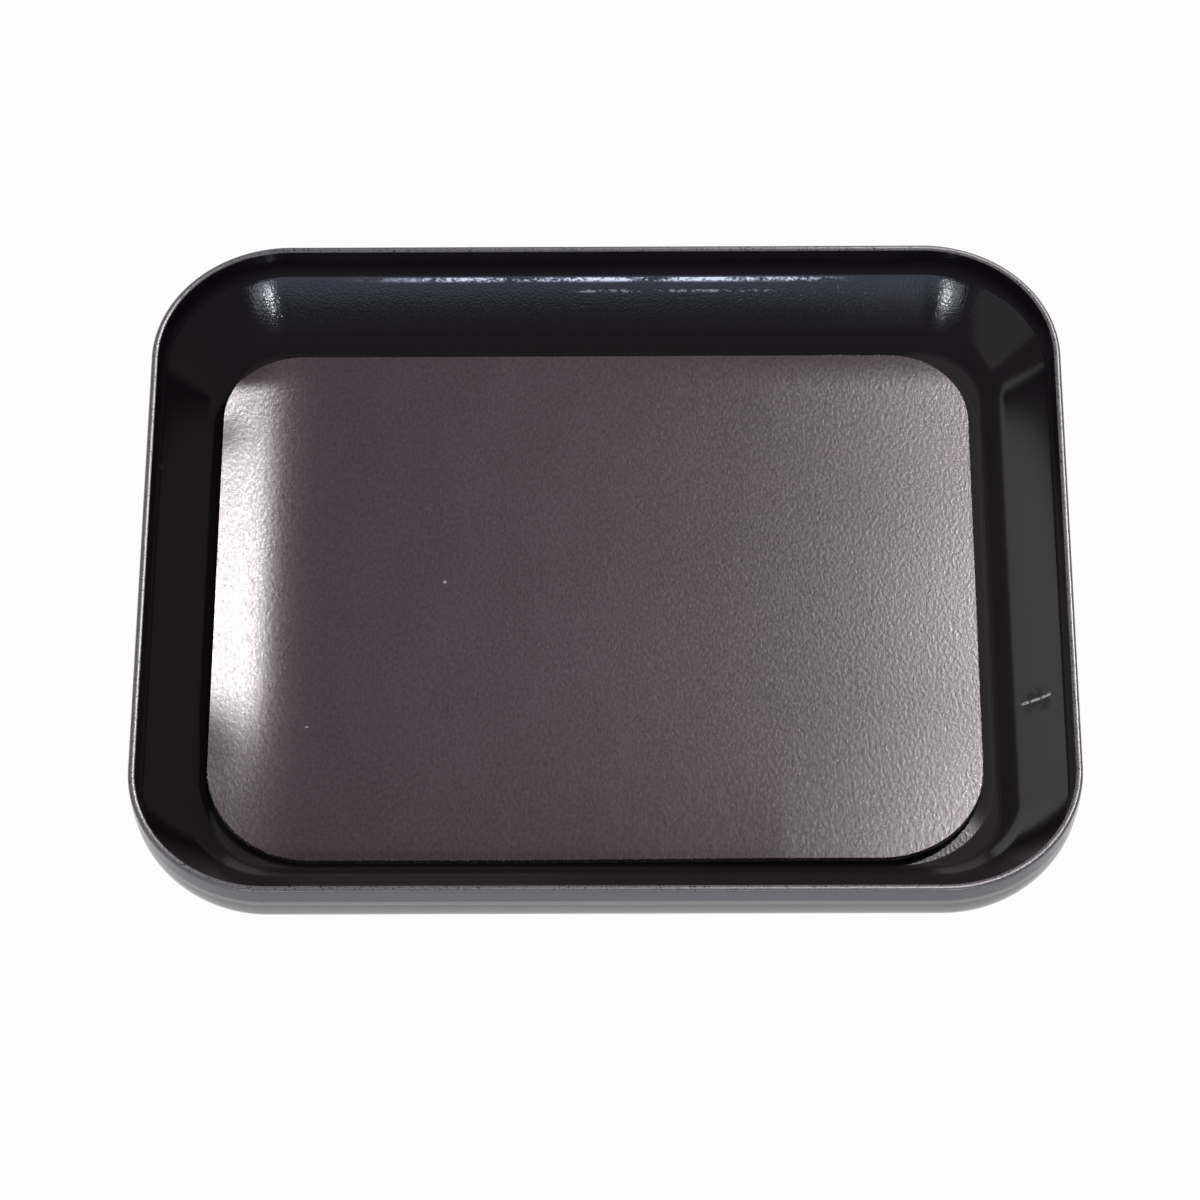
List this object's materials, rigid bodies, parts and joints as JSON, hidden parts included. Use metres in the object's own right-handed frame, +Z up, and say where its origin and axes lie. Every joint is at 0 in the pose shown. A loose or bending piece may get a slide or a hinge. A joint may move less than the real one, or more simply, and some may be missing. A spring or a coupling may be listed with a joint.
{
  "type": "magnetic parts tray",
  "caption": "Shallow pan with rounded corners and an upright lip, and a lift-out flexible magnet sheet on its floor that holds small steel screws and parts during repair work.",
  "frame": {"origin": "centre of the flat base, on the surface that the tray stands on", "axes": "+X along the longer side, +Y along the shorter side away from the viewer, +Z up out of the pan"},
  "size_m": [0.107, 0.088, 0.0114],
  "materials": {
    "black_coat": "glossy black coating with a fine orange peel, ground to bare metal along the rim",
    "magnet_rubber": "matt dark ferrite rubber, knife-cut edges",
    "taupe_film": "satin taupe with a fine grain along the short side"
  },
  "bodies": {
    "pan": {"tray_pan": "black_coat"},
    "liner": {"magnet_core": "magnet_rubber", "face_film": "taupe_film"}
  },
  "joints": [
    {"name": "liner_lift", "type": "slide", "parent": "pan", "child": "liner", "axis": [0, 0, 1], "range_m": [0, 0.025]}
  ]
}
